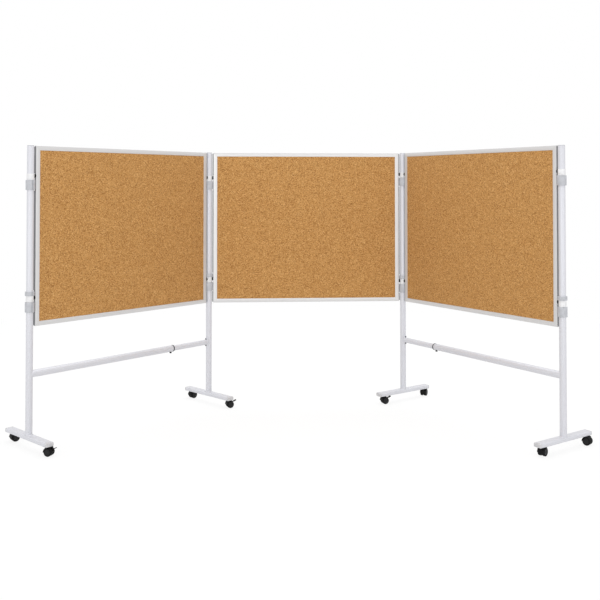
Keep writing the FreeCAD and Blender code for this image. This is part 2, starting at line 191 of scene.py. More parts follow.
corkLook = {
    "base": (0.508, 0.258, 0.083), "roughness": 0.86, "specular": 0.25,
    "grainScale": 190.0, "fineScale": 520.0, "fineShare": 0.28,
    "stops": (
        (0.0, (0.200, 0.080, 0.020)),
        (0.12, (0.340, 0.152, 0.043)),
        (0.34, (0.478, 0.238, 0.073)),
        (0.72, (0.568, 0.302, 0.097)),
        (1.0, (0.740, 0.455, 0.182)),
    ),
    "seams": ((0.0, (0.72, 0.66, 0.58)), (0.09, (1.0, 1.0, 1.0))),
    "patches": ((0.3, (0.975, 0.97, 0.96)), (0.7, (1.025, 1.025, 1.03))),
    "patchNoise": (14.0, 4.0, 0.55), "dull": (0.78, 0.94), "relief": (0.35, 0.0004),
}


def corkFinish():
    finish, tree, shader = startFinish("corkGrain", corkLook["base"], corkLook["roughness"],
                                       Specular_IOR_Level=corkLook["specular"])
    point = objectPoint(tree)
    coarse = grains(tree, point, corkLook["grainScale"])
    fine = grains(tree, point, corkLook["fineScale"])
    fineRed = redOf(tree, fine.outputs["Color"])
    coarseTone = ramp(tree, redOf(tree, coarse.outputs["Color"]), corkLook["stops"])
    fineTone = ramp(tree, fineRed, corkLook["stops"])
    tone = mixed(tree, corkLook["fineShare"], coarseTone, fineTone)
    seams = grains(tree, point, corkLook["grainScale"], "DISTANCE_TO_EDGE").outputs["Distance"]
    tone = mixed(tree, 1.0, tone, ramp(tree, seams, corkLook["seams"]), "MULTIPLY")
    patches = noise(tree, point, *corkLook["patchNoise"])
    tone = mixed(tree, 1.0, tone, ramp(tree, patches, corkLook["patches"]), "MULTIPLY")
    link(tree, tone, shader.inputs["Base Color"])
    link(tree, spread(tree, fineRed, *corkLook["dull"]), shader.inputs["Roughness"])
    relief = combined(tree, "ADD", coarse.outputs["Distance"], fineRed)
    bumped(tree, shader, relief, *corkLook["relief"])
    return finish


frameLook = {
    "base": (0.660, 0.656, 0.655), "metallic": 0.4, "roughness": 0.42, "dull": (0.35, 0.49),
    "tones": ((0.25, (0.636, 0.632, 0.632)), (0.75, (0.682, 0.677, 0.675))),
    "streaks": (3.0, 1400.0, 1.0), "streakNoise": (1.0, 3.0),
    "drift": (0.652, 0.655, 0.662, 1.0), "driftNoise": (3.0, 2.0), "driftShare": (0.0, 0.35),
    "fleckNoise": (2600.0, 1.0), "relief": (0.12, 0.0001),
}


def frameFinish():
    finish, tree, shader = startFinish("frameSatin", frameLook["base"], frameLook["roughness"],
                                       Metallic=frameLook["metallic"])
    point = objectPoint(tree)
    lay = addNode(tree, "ShaderNodeTexCoord").outputs["UV"]
    lines = addNode(tree, "ShaderNodeMapping", {"Scale": frameLook["streaks"]})      # along each length
    link(tree, lay, lines.inputs["Vector"])
    streak = noise(tree, lines.outputs["Vector"], *frameLook["streakNoise"])
    link(tree, spread(tree, streak, *frameLook["dull"]), shader.inputs["Roughness"])
    drift = spread(tree, noise(tree, point, *frameLook["driftNoise"]), *frameLook["driftShare"])
    tone = mixed(tree, drift, ramp(tree, streak, frameLook["tones"]), frameLook["drift"])
    link(tree, tone, shader.inputs["Base Color"])
    bumped(tree, shader, noise(tree, point, *frameLook["fleckNoise"]), *frameLook["relief"])
    return finish


silverLook = {
    "base": (0.648, 0.652, 0.692), "metallic": 0.15, "roughness": 0.44, "dull": (0.39, 0.50),
    "coat": 0.06, "coatRoughness": 0.25,
    "tones": ((0.3, (0.58968, 0.59332, 0.62972)), (0.7, (0.70632, 0.71068, 0.75428))),
    "fleckNoise": (3000.0, 1.0), "peelNoise": (420.0, 2.0), "relief": (0.10, 0.0002),
}


def silverFinish():
    finish, tree, shader = startFinish(
        "silverCoat", silverLook["base"], silverLook["roughness"], Metallic=silverLook["metallic"],
        Coat_Weight=silverLook["coat"], Coat_Roughness=silverLook["coatRoughness"])
    point = objectPoint(tree)
    fleck = noise(tree, point, *silverLook["fleckNoise"])
    link(tree, ramp(tree, fleck, silverLook["tones"]), shader.inputs["Base Color"])
    peel = noise(tree, point, *silverLook["peelNoise"])
    link(tree, spread(tree, peel, *silverLook["dull"]), shader.inputs["Roughness"])
    bumped(tree, shader, peel, *silverLook["relief"])
    return finish


plasticLook = {
    "pitDetail": 3.0, "pitRoughness": 0.6, "pitDepth": 0.00015, "glossier": 0.07, "duller": 0.09,
    "cloudNoise": (45.0, 2.0), "cloudStops": (0.3, 0.7), "dark": 0.92, "light": 1.07, "lift": 0.003,
    "kinds": {      # colour, roughness, pit scale, pit strength, specular level
        "collarGrey": ((0.47, 0.48, 0.51), 0.42, 1500.0, 0.2, 0.5),
        # foot end caps: grey plastic, made darker than the tubes as painted shade for their shaded end faces
        "capShadeGrey": ((0.56, 0.56, 0.575), 0.5, 1500.0, 0.2, 0.5),
        "sleeveWhite": ((0.76, 0.76, 0.77), 0.4, 1500.0, 0.1, 0.5),
        "knobBlack": ((0.004, 0.004, 0.0045), 0.5, 1300.0, 0.3, 0.12),
        "hoodBlack": ((0.0035, 0.0035, 0.004), 0.48, 1100.0, 0.25, 0.13),
        "treadBlack": ((0.005, 0.005, 0.0055), 0.62, 700.0, 0.35, 0.12),
        "hubBlack": ((0.009, 0.009, 0.010), 0.38, 1300.0, 0.12, 0.22),
        # dark grey strips down the frame edges: painted shade for the shaded gap between post and frame
        "shadeStripGrey": ((0.25, 0.255, 0.265), 0.6, 900.0, 0.3, 0.2),
    },
}


def plasticFinish(name, colour, roughness, pitScale, pitStrength, specular):
    finish, tree, shader = startFinish(name, colour, roughness, Specular_IOR_Level=specular)
    point = objectPoint(tree)
    cloud = noise(tree, point, *plasticLook["cloudNoise"])
    dark = [part * plasticLook["dark"] for part in colour]
    light = [part * plasticLook["light"] + plasticLook["lift"] for part in colour]
    tone = ramp(tree, cloud, zip(plasticLook["cloudStops"], (dark, light)))
    link(tree, tone, shader.inputs["Base Color"])
    pits = noise(tree, point, pitScale, plasticLook["pitDetail"], plasticLook["pitRoughness"])
    dull = spread(tree, pits, roughness - plasticLook["glossier"], roughness + plasticLook["duller"])
    link(tree, dull, shader.inputs["Roughness"])
    bumped(tree, shader, pits, pitStrength, plasticLook["pitDepth"])
    return finish


steelLook = {
    "base": (0.62, 0.63, 0.65), "roughness": 0.3, "dull": (0.24, 0.4), "spotNoise": (900.0, 4.0),
    "tones": ((0.3, (0.55, 0.56, 0.58)), (0.7, (0.70, 0.70, 0.71))),
}


def steelFinish():
    finish, tree, shader = startFinish("zincSteel", steelLook["base"], steelLook["roughness"], Metallic=1.0)
    spots = noise(tree, objectPoint(tree), *steelLook["spotNoise"])
    link(tree, ramp(tree, spots, steelLook["tones"]), shader.inputs["Base Color"])
    link(tree, spread(tree, spots, *steelLook["dull"]), shader.inputs["Roughness"])
    return finish


fibreLook = {
    "base": (0.33, 0.22, 0.13), "roughness": 0.9, "fibreNoise": (700.0, 6.0, 0.7), "relief": (0.3, 0.0003),
    "tones": ((0.3, (0.24, 0.15, 0.08)), (0.7, (0.42, 0.30, 0.18))),
}


def fibreFinish():
    finish, tree, shader = startFinish("fibreCore", fibreLook["base"], fibreLook["roughness"])
    fibres = noise(tree, objectPoint(tree), *fibreLook["fibreNoise"])
    link(tree, ramp(tree, fibres, fibreLook["tones"]), shader.inputs["Base Color"])
    bumped(tree, shader, fibres, *fibreLook["relief"])
    return finish


cork = corkFinish()
satin = frameFinish()
silver = silverFinish()
plastic = {name: plasticFinish(name, *look) for name, look in plasticLook["kinds"].items()}
steel = steelFinish()
fibre = fibreFinish()
print("finishes:", len(bpy.data.materials))


# Shapes, each drawn about its own axes and then put in place

def closeHoles(bm):
    bmesh.ops.holes_fill(bm, edges=[edge for edge in bm.edges if edge.is_boundary], sides=0)


def spun(profile, sides=48, closed=True, start=0.0, sweep=360.0):
    bm = bmesh.new()
    corners = [bm.verts.new((radius, 0.0, height)) for radius, height in profile]
    pairs = list(zip(corners, corners[1:]))
    if closed:
        pairs.append((corners[-1], corners[0]))
    edges = [bm.edges.new(pair) for pair in pairs]
    bmesh.ops.spin(bm, geom=corners + edges, cent=(0, 0, 0), axis=(0, 0, 1), dvec=(0, 0, 0),
                   angle=math.radians(sweep), steps=sides, use_merge=sweep == 360.0)
    bmesh.ops.remove_doubles(bm, verts=bm.verts, dist=1e-6)
    if sweep < 360.0:
        closeHoles(bm)
    bmesh.ops.rotate(bm, cent=(0, 0, 0), matrix=turn(start).to_3x3(), verts=bm.verts)
    bmesh.ops.recalc_face_normals(bm, faces=bm.faces)
    return bm


def tubeShape(outer, inner, low, high, sides=48, start=0.0, sweep=360.0):
    profile = [(inner, low), (outer, low), (outer, high), (inner, high)]
    return spun(profile, sides, start=start, sweep=sweep)


def rodShape(radius, low, high, sides=32):
    return spun([(0.0, low), (radius, low), (radius, high), (0.0, high)], sides, closed=False)


def extruded(bm, sweep):
    grown = bmesh.ops.extrude_face_region(bm, geom=bm.faces[:])["geom"]
    verts = [item for item in grown if isinstance(item, bmesh.types.BMVert)]
    bmesh.ops.translate(bm, vec=sweep, verts=verts)
    bmesh.ops.recalc_face_normals(bm, faces=bm.faces)
    return bm


def trimmed(bm, height, side=1.0):      # keeps what is above the height, or below it for side -1
    geom = bm.verts[:] + bm.edges[:] + bm.faces[:]
    bmesh.ops.bisect_plane(bm, geom=geom, plane_co=(0, 0, height), plane_no=(0, 0, side), clear_inner=True)
    closeHoles(bm)
    return bm


def flatShape(corners):
    bm = bmesh.new()
    bm.faces.new([bm.verts.new(corner) for corner in corners])
    return bm


def boxShape(low, high):
    bm = bmesh.new()
    bmesh.ops.create_cube(bm, size=1.0)
    size = Vector(high) - Vector(low)
    bmesh.ops.scale(bm, vec=size, verts=bm.verts)
    bmesh.ops.translate(bm, vec=(Vector(low) + Vector(high)) / 2, verts=bm.verts)
    return bm


def sharpEdges(bm, angle=35.0):
    bm.normal_update()
    least = math.radians(angle)
    return [edge for edge in bm.edges if len(edge.link_faces) == 2 and edge.calc_face_angle() > least]


def softened(bm, width, segments=2, edges=None):
    bm.normal_update()
    edges = sharpEdges(bm) if edges is None else edges
    bmesh.ops.bevel(bm, geom=edges, offset=width, offset_type="OFFSET", segments=segments, profile=0.5,
                    affect="EDGES", material=-1, clamp_overlap=True)
    return bm


def roundCorners(bm, corner, segments):
    bmesh.ops.bevel(bm, geom=bm.verts[:], offset=corner, offset_type="OFFSET", segments=segments,
                    profile=0.5, affect="VERTICES", material=-1)
    return bm


def flutedWheel(radius, depth, flutes, length, rim, segments, flutePoints=6):
    bm = bmesh.new()
    bmesh.ops.create_circle(bm, cap_ends=True, radius=radius, segments=flutes * flutePoints)
    for vert in bm.verts:
        wave = math.cos(math.atan2(vert.co.y, vert.co.x) * flutes)
        vert.co *= 1.0 - depth / radius * (0.5 - 0.5 * wave)
    extruded(bm, (0, 0, length))
    return softened(bm, rim, segments, sharpEdges(bm, 60.0))


def addTo(bm, part, place=Matrix(), finish=None):
    if finish is not None:
        for face in part.faces:
            face.material_index = finish
    holder = bpy.data.meshes.new("holder")
    part.to_mesh(holder)
    part.free()
    holder.transform(place)
    bm.from_mesh(holder)
    bpy.data.meshes.remove(holder)


def pieceName(node):
    words = node.title().replace("_", "")
    return words[0].lower() + words[1:]


def makePiece(node, bm, place, finishes, body, smooth=40.0):
    name = pieceName(node)
    mesh = bpy.data.meshes.new(name)
    bm.transform(place)
    bm.to_mesh(mesh)
    bm.free()
    for finish in finishes:
        mesh.materials.append(finish)
    mesh.polygons.foreach_set("use_smooth", [True] * len(mesh.polygons))
    mesh.set_sharp_from_angle(angle=math.radians(smooth))
    piece = bpy.data.objects.new(name, mesh)
    scene.collection.objects.link(piece)
    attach(piece, body)
    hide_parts(node)


# Rings round the posts, with a boss for each thumb screw; at an inner post one ring sits on another

ring = {
    "inner": 0.0231, "outer": 0.0251, "below": 0.028, "above": 0.014, "gap": 0.0003, "round": 0.0005,
    "bossRadius": 0.007, "bossStart": 0.0255, "bossLength": 0.0045, "bossRound": 0.0003,
    "bossRoot": 0.0001, "socket": 0.0041,
}
screwHeights = {}
for side in stands:
    low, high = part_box(f"{side}_inner_board_rings")
    screwHeights[side] = (low.z + ring["below"], high.z + ring["gap"] / 2)


def ringShape(low, high):
    bm = softened(tubeShape(ring["outer"], ring["inner"], low, high), ring["round"])
    start, end = ring["inner"] + ring["bossRoot"], ring["bossStart"] + ring["bossLength"]
    boss = softened(tubeShape(ring["bossRadius"], ring["socket"], start, end, sides=32), ring["bossRound"])
    boss.transform(turn(90.0, "Y"))
    if low > 0.0:
        trimmed(boss, low)
    elif high < 0.0:
        trimmed(boss, high, -1.0)
    addTo(bm, boss)
    return bm


def ringsShape(heights, low, high):
    bm = bmesh.new()
    for height in heights:
        addTo(bm, ringShape(low, high), shift(z=height))
    return bm


# Boards: mitred frames round a core with cork on both faces, dark strips down both edges as painted shade for
# the gap beside the posts

frameLow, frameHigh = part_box("middle_board_frame")
board = {
    "width": frameHigh.x - frameLow.x, "height": frameHigh.z - frameLow.z,
    "depth": frameHigh.y - frameLow.y, "middle": (frameHigh.z + frameLow.z) / 2,
    "face": 0.030, "mitreGap": 0.00015, "edgeRound": 0.0012, "slotHalf": 0.0062, "slotFloor": 0.012,
    "channelWall": 0.002, "channelFloor": 0.010, "channelHalf": 0.008, "mouthHalf": 0.0045,
    "corkIn": 0.006, "corkOut": 0.009, "corkGap": 0.0003, "corkRound": 0.0008,
    "smooth": 30.0,
}
# dark strips in the gap beside the posts, coloured as painted shade for that gap
shadeStrip = {
    "half": 0.003, "root": 0.004, "proud": 0.0085, "thin": 0.003, "round": 0.0014,
    "below": 0.100, "above": 0.048, "clear": 0.0165, "end": 0.006,
}


def frameBar(length):
    half, face, slot = board["depth"] / 2, board["face"], board["slotHalf"]
    wall, floor = board["channelWall"], board["channelFloor"]
    mouth, channel = board["mouthHalf"], board["channelHalf"]
    upper = [(0.0, mouth), (0.0, half), (face, half), (face, slot), (board["slotFloor"], slot)]
    inside = [(floor, channel), (wall, channel), (wall, mouth)]
    lower = [(inward, -across) for inward, across in reversed(upper)]
    insideLower = [(inward, -across) for inward, across in reversed(inside)]
    outline = upper + lower + insideLower + inside
    bm = extruded(flatShape([(-1.0, across, inward) for inward, across in outline]), (2.0, 0.0, 0.0))
    for vert in bm.verts:
        vert.co.x *= length / 2 - board["mitreGap"] - vert.co.z      # mitred at 45 degrees
    corners = [edge for edge in bm.edges if all(abs(abs(vert.co.y) - half) < tiny for vert in edge.verts)
               and abs(edge.verts[0].co.z - edge.verts[1].co.z) < tiny]
    softened(bm, board["edgeRound"], segments=3, edges=corners)
    lay = bm.loops.layers.uv.new("along")
    for face in bm.faces:
        for loop in face.loops:
            loop[lay].uv = (loop.vert.co.x, loop.vert.co.y + loop.vert.co.z)
    return bm


def frameShape():
    bm = bmesh.new()
    bm.loops.layers.uv.new("along")
    for quarter in range(4):
        length, reach = board["width"], board["height"]
        if quarter % 2:
            length, reach = reach, length
        addTo(bm, frameBar(length), turn(90.0 * quarter, "Y") @ shift(z=-reach / 2))
    return bm


def corkShape():
    bm = bmesh.new()
    halfWidth = board["width"] / 2 - board["face"] - board["corkGap"]
    halfHeight = board["height"] / 2 - board["face"] - board["corkGap"]
    for low, high in ((-board["corkOut"], -board["corkIn"]), (board["corkIn"], board["corkOut"])):
        sheet = boxShape((-halfWidth, low, -halfHeight), (halfWidth, high, halfHeight))
        addTo(bm, softened(sheet, board["corkRound"], segments=3))
    return bm


def shadeStripsShape(leftHeights, rightHeights):
    bm = bmesh.new()
    half = board["height"] / 2 - shadeStrip["end"]
    below, above, clear = shadeStrip["below"], shadeStrip["above"], shadeStrip["clear"]
    for edge, heights in ((180.0, leftHeights), (0.0, rightHeights)):
        lower, upper = (height - board["middle"] for height in heights)
        runs = (      # thin beside the collars, open at the thumb wheels
            (-half, lower - below, "proud"), (lower - below, lower - clear, "thin"),
            (lower + clear, lower + above, "thin"), (lower + above, upper - below, "proud"),
            (upper - below, upper - clear, "thin"), (upper + clear, half, "proud"),
        )
        for low, high, reach in runs:
            strip = boxShape((-shadeStrip["root"], -shadeStrip["half"], low), (shadeStrip[reach], shadeStrip["half"], high))
            addTo(bm, softened(strip, shadeStrip["round"], segments=3), turn(edge) @ shift(board["width"] / 2))
    return bm


boardPlaces = {"middle": ("middle_board", shift(z=board["middle"]), ("left", "right"))}
for side, stand in stands.items():
    place = stand @ shift(wingLength / 2, 0.0, board["middle"])
    boardPlaces[side] = (f"{side}_stand", place, (side, side))
for name, (body, place, ends) in boardPlaces.items():
    bm = frameShape()
    # the strips take the dark grey: painted shade in the gap beside the posts
    addTo(bm, shadeStripsShape(*(screwHeights[end] for end in ends)), finish=1)
    finishes = [satin, plastic["shadeStripGrey"]]
    makePiece(f"{name}_board_frame", bm, place, finishes, body, board["smooth"])
    makePiece(f"{name}_board_cork", corkShape(), place, [cork], body, board["smooth"])
    core = frame["nodes"][f"{name}_board_core"]      # shown as it comes, in a fibre finish
    core.data.materials.clear()
    core.data.materials.append(fibre)
print("boards:", len(boardPlaces))


# Posts, feet and their caps

post = {
    "radius": 0.023, "wall": 0.002, "low": 0.0636, "top": 2.002, "rim": 0.0004,
    "capHead": 0.004, "capPlug": 0.015, "plugGap": 0.0001, "capRadius": 0.0228,
    "dome": ((0.0, 0.0022), (0.0008, 0.0009), (0.0026, 0.0002)),      # in from the rim, down from the top
}
foot = {
    "width": 0.060, "height": 0.028, "low": 0.0615, "corner": 0.008, "wall": 0.002, "overhang": 0.040,
    "capLength": 0.012, "capRound": 0.006,
    "weld": ((0.0, 0.0035), (0.001575, 0.00217), (0.0035, 0.0), (0.0, -0.0005)),      # out, up
}
foot["tubeHalf"] = stemOffset + foot["overhang"] - foot["capLength"]
foot["middle"] = foot["low"] + foot["height"] / 2
foot["top"] = foot["low"] + foot["height"]


def postShape():
    inner, high = post["radius"] - post["wall"], post["top"] - post["capHead"]
    return softened(tubeShape(post["radius"], inner, post["low"], high), post["rim"])


def footFace():
    across, up = foot["width"] / 2, foot["height"] / 2
    face = flatShape([(-across, 0, -up), (across, 0, -up), (across, 0, up), (-across, 0, up)])
    return roundCorners(face, foot["corner"], segments=6)


def footShape():
    bm = bmesh.new()
    tube = extruded(footFace(), (0, 2 * foot["tubeHalf"], 0))
    ends = [face for face in tube.faces if abs(face.normal.y) > 0.9]
    bmesh.ops.delete(tube, geom=ends, context="FACES_ONLY")
    bmesh.ops.solidify(tube, geom=tube.faces[:], thickness=foot["wall"])
    addTo(bm, tube, shift(0.0, -foot["tubeHalf"], foot["middle"]))
    addTo(bm, spun([(post["radius"] + out, foot["top"] + up) for out, up in foot["weld"]]))
    return bm


def footCap():
    bm = extruded(footFace(), (0, foot["capLength"], 0))
    end = [edge for edge in bm.edges if all(vert.co.y > foot["capLength"] - tiny for vert in edge.verts)]
    return softened(bm, foot["capRound"], segments=5, edges=end)


def capsShape():
    bm = bmesh.new()
    top, head = post["top"], post["top"] - post["capHead"]
    plug, tip = post["radius"] - post["wall"] - post["plugGap"], head - post["capPlug"]
    dome = [(post["capRadius"] - inward, top - down) for inward, down in post["dome"]]
    cap = [(0.0, tip), (plug, tip), (plug, head), (post["capRadius"], head), *dome, (0.0, top)]
    addTo(bm, spun(cap, closed=False))
    ahead = shift(0.0, foot["tubeHalf"], foot["middle"])
    addTo(bm, footCap(), ahead, finish=1)
    addTo(bm, footCap(), turn(180.0) @ ahead, finish=1)
    return bm


for side, stand in stands.items():
    for end, place, body in (
        ("inner", stand, f"{side}_stand"),
        ("outer", outerPosts[side], f"{side}_outer_stand"),
    ):
        name = f"{side}_{end}"
        makePiece(f"{name}_post", postShape(), place, [silver], body)
        makePiece(f"{name}_foot", footShape(), place, [silver], body)
        # the foot caps take the darker grey: grey plastic, partly painted shade for their end faces
        finishes = [plastic["collarGrey"], plastic["capShadeGrey"]]
        makePiece(f"{name}_end_caps", capsShape(), place, finishes, body)
print("posts and feet done")


# Fixings: collars under the rings, stop rings, thumb screws with slot nuts

collar = {
    "inner": 0.0231, "outer": 0.031, "height": 0.066, "stopHeight": 0.027, "round": 0.0012,
    "split": 6.0, "splitAt": -90.0,
}
screw = {
    "wheelRadius": 0.014, "wheelLength": 0.0091, "wheelRound": 0.0006, "flutes": 16, "fluteDepth": 0.0014,
    "studRadius": 0.004, "studStart": 0.0259, "studEnd": 0.0448, "studRound": 0.0004,
    "nutStart": 0.0372, "nutEnd": 0.0448, "nutHalf": 0.0078, "nutHeight": 0.018, "nutRound": 0.0006,
}


def collarShape(low, high):
    start, sweep = collar["splitAt"] + collar["split"] / 2, 360.0 - collar["split"]
    band = tubeShape(collar["outer"], collar["inner"], low, high, sides=60, start=start, sweep=sweep)
    return softened(band, collar["round"], segments=3)


def collarsShape(heights):
    bm = bmesh.new()
    top = -ring["below"] - ring["gap"]
    for height in heights:
        addTo(bm, collarShape(height + top - collar["height"], height + top))
    low = heights[0] + ring["above"] + ring["gap"]
    addTo(bm, collarShape(low, low + collar["stopHeight"]))
    return bm


def screwsShape(heights):
    bm = bmesh.new()
    up = screw["nutHeight"] / 2
    for height in heights:
        place = shift(z=height) @ turn(90.0, "Y")
        wheel = flutedWheel(screw["wheelRadius"], screw["fluteDepth"], screw["flutes"],
                            screw["wheelLength"], screw["wheelRound"], segments=2)
        addTo(bm, wheel, place @ shift(z=ring["bossStart"]))
        stud = rodShape(screw["studRadius"], screw["studStart"], screw["studEnd"], sides=20)
        addTo(bm, softened(stud, screw["studRound"]), place, finish=1)
        nut = boxShape((screw["nutStart"], -screw["nutHalf"], -up), (screw["nutEnd"], screw["nutHalf"], up))
        addTo(bm, softened(nut, screw["nutRound"]), shift(z=height), finish=1)
    return bm


halfGap = ring["gap"] / 2
screwFinishes = [plastic["knobBlack"], steel]
middleRings, middleScrews = bmesh.new(), bmesh.new()
for side, stand in stands.items():
    heights = screwHeights[side]
    away = outerPosts[side] @ turn(180.0)
    hinge = Matrix.Translation(jointPoint(f"{side}_wing_hinge"))
    towardsMiddle = hinge @ turn(0.0 if side == "left" else 180.0)
    addTo(middleRings, ringsShape(heights, halfGap, ring["above"]), towardsMiddle)
    addTo(middleScrews, screwsShape(heights), towardsMiddle)
    screws = bmesh.new()
    addTo(screws, screwsShape(heights), stand)
    addTo(screws, screwsShape(heights), away)
    makePiece(f"{side}_board_screws", screws, Matrix(), screwFinishes, f"{side}_stand")
    for end, place, high, body in (
        ("inner", stand, -halfGap, f"{side}_stand"),
        ("outer", away, ring["above"], f"{side}_outer_stand"),
    ):
        name = f"{side}_{end}"
        bm = ringsShape(heights, -ring["below"], high)
        makePiece(f"{name}_board_rings", bm, place, [plastic["sleeveWhite"]], body)
        bm = collarsShape(heights)
        makePiece(f"{name}_collars", bm, place, [plastic["collarGrey"]], body)
finishes = [plastic["sleeveWhite"]]
makePiece("middle_board_rings", middleRings, Matrix(), finishes, "middle_board")
makePiece("middle_board_screws", middleScrews, Matrix(), screwFinishes, "middle_board")
print("fixings done")


# Telescopic crossbars with their saddles, bushes and clamp knobs

bar = {
    "height": 0.487, "step": 0.373, "innerRadius": 0.020, "innerWall": 0.002, "innerEnd": 0.723,
    "outerRadius": 0.024, "outerBore": 0.022, "postClear": 0.0231, "sink": 0.0002, "rim": 0.0004,
    "saddleOut": 0.030, "saddleHalf": 0.032, "saddleSpread": 35.0, "saddleRound": 0.0015,
    "screwRise": 0.026, "screwHead": 0.005, "screwLength": 0.004, "screwSink": 0.0004, "screwRound": 0.0012,
}
clamp = {
    "flangeRadius": 0.0255, "flange": 0.008, "flangeBevel": 0.002,
    "bushBore": 0.0201, "bushOuter": 0.0219, "bushLength": 0.050, "bushRound": 0.0003,
    "knobInset": 0.014, "knobStart": 0.025, "knobLength": 0.010, "knobRadius": 0.008, "knobRound": 0.0009,
    "flutes": 10, "fluteDepth": 0.0008, "shankRadius": 0.003, "shankStart": 0.0203, "shankEnd": 0.026,
}


def coped(bm, radius, centre, side):      # the end hollowed to sit round an upright of this radius
    for vert in bm.verts:
        if (vert.co.x - centre) * side < radius:
            vert.co.x = centre + side * math.sqrt(max(radius ** 2 - vert.co.y ** 2, 0.0))
    return bm


def innerBarShape():
    bm = bmesh.new()
    out, half, wide = bar["saddleOut"], bar["saddleHalf"], bar["saddleSpread"]
    saddle = tubeShape(out, bar["postClear"], -half, half, sides=18, start=-wide, sweep=2 * wide)
    addTo(bm, softened(saddle, bar["saddleRound"], segments=3), shift(z=bar["height"]))
    bore = bar["innerRadius"] - bar["innerWall"]
    tube = tubeShape(bar["innerRadius"], bore, bar["postClear"], bar["innerEnd"])
    tube.transform(turn(90.0, "Y"))
    addTo(bm, coped(tube, out - bar["sink"], 0.0, 1.0), shift(z=bar["height"]))
    for rise in (-bar["screwRise"], bar["screwRise"]):
        head = rodShape(bar["screwHead"], 0.0, bar["screwLength"], sides=24)
        place = shift(out - bar["screwSink"], 0.0, bar["height"] + rise) @ turn(90.0, "Y")
        addTo(bm, softened(head, bar["screwRound"], segments=3), place, finish=1)
    return bm


def outerBarShape():
    tube = tubeShape(bar["outerRadius"], bar["outerBore"], bar["step"], wingLength)
    tube.transform(turn(90.0, "Y"))
    coped(tube, bar["postClear"] - bar["sink"], wingLength, -1.0)
    mouth = [edge for edge in sharpEdges(tube) if edge.verts[0].co.x < bar["step"] + tiny]
    softened(tube, bar["rim"], edges=mouth)
    tube.transform(shift(z=bar["height"]))
    return tube


def clampShape():
    bm = bmesh.new()
    step, start, end = bar["step"], bar["step"] - clamp["flange"], bar["step"] + clamp["bushLength"]
    flange, bevel = clamp["flangeRadius"], clamp["flangeBevel"]
    bush = [(clamp["bushBore"], start), (flange - bevel, start), (flange, start + bevel), (flange, step),
            (clamp["bushOuter"], step), (clamp["bushOuter"], end), (clamp["bushBore"], end)]
    addTo(bm, softened(spun(bush), clamp["bushRound"]), shift(z=bar["height"]) @ turn(90.0, "Y"))
    knob = flutedWheel(clamp["knobRadius"], clamp["fluteDepth"], clamp["flutes"],
                       clamp["knobLength"], clamp["knobRound"], segments=3)
    down = shift(step + clamp["knobInset"], 0.0, bar["height"]) @ turn(180.0, "X")
    addTo(bm, knob, down @ shift(z=clamp["knobStart"]))
    shank = rodShape(clamp["shankRadius"], clamp["shankStart"], clamp["shankEnd"], sides=16)
    addTo(bm, shank, down, finish=1)
    return bm


for side, stand in stands.items():
    for word, build, finishes, slot, body in (
        ("inner_bar", innerBarShape, [silver, plastic["knobBlack"]], "silver_coat", f"{side}_stand"),
        ("outer_bar", outerBarShape, [silver], "silver_coat", f"{side}_outer_stand"),
        ("bar_clamp", clampShape, screwFinishes, "black_plastic", f"{side}_outer_stand"),
    ):
        makePiece(f"{side}_{word}", build(), stand, finishes, body)
print("crossbars done")


# Castors: hood and web, twin wheels, brake levers

castor = {
    "wheelRadius": 0.0275, "inner": 0.0065, "outer": 0.0245, "bore": 0.00305, "boreEnd": 0.019,
    "lip": 0.001, "groove": 0.0006, "grooveHalf": 0.0005, "grooves": (0.0110, 0.0160), "edge": 0.004,
    "edgeCurve": ((0.0, 1.0), (0.102513, 0.62), (0.292893, 0.292893), (0.62, 0.102513), (1.0, 0.0)),
    "rim": 0.0195, "treadFrom": 0.021, "dish": 0.0225, "slope": 0.002, "hub": 0.008, "hubEnd": 0.0242,
    "trail": 0.020, "axleRadius": 0.003, "axleHalf": 0.0185,
    "hoodInner": 0.0287, "hoodOuter": 0.0313, "hoodHalf": 0.0245, "hoodStart": 58.0, "hoodEnd": 185.0,
    "hoodRound": 0.001, "ribInner": 0.01375, "ribOuter": 0.0297, "ribStart": 64.0,
    "webHalf": 0.006, "webRadius": 0.0263, "webFloor": 0.008,
    "neckRadius": 0.009, "neckSink": 0.0005, "neckRound": 0.0006, "top": 0.0610,
    "stemRadius": 0.005, "stemLow": 0.053, "stemTop": 0.0845, "stemRound": 0.0008,
}
lever = {
    "pivotRadius": 0.0215, "pivotAngle": 40.0, "tip": 0.0565, "length": 0.038, "thick": 0.004,
    "arm": 0.006, "armEnd": 0.013, "tab": 0.022, "tabStart": 0.011, "tabCorner": 0.0035, "tabRound": 0.0008,
    "pin": 0.002, "pinHalf": 0.0057, "root": 0.0037, "slotHalf": 0.0033, "slotFrom": 12.0, "slotTo": 64.0,
    "ribs": (0.032, 0.027, 0.022), "ribHalf": 0.0008, "ribAcross": 0.008, "ribSink": 0.0005,
    "ribRise": 0.0006, "ribRound": 0.0003,
}
lever["lift"] = castor["wheelRadius"] + lever["pivotRadius"] * math.sin(math.radians(lever["pivotAngle"]))
lever["ahead"] = castor["trail"] + lever["pivotRadius"] * math.cos(math.radians(lever["pivotAngle"]))
lever["rest"] = math.degrees(math.asin((lever["tip"] - lever["lift"]) / lever["length"]))
axlePlace = shift(castor["trail"], 0.0, castor["wheelRadius"]) @ turn(90.0, "X")


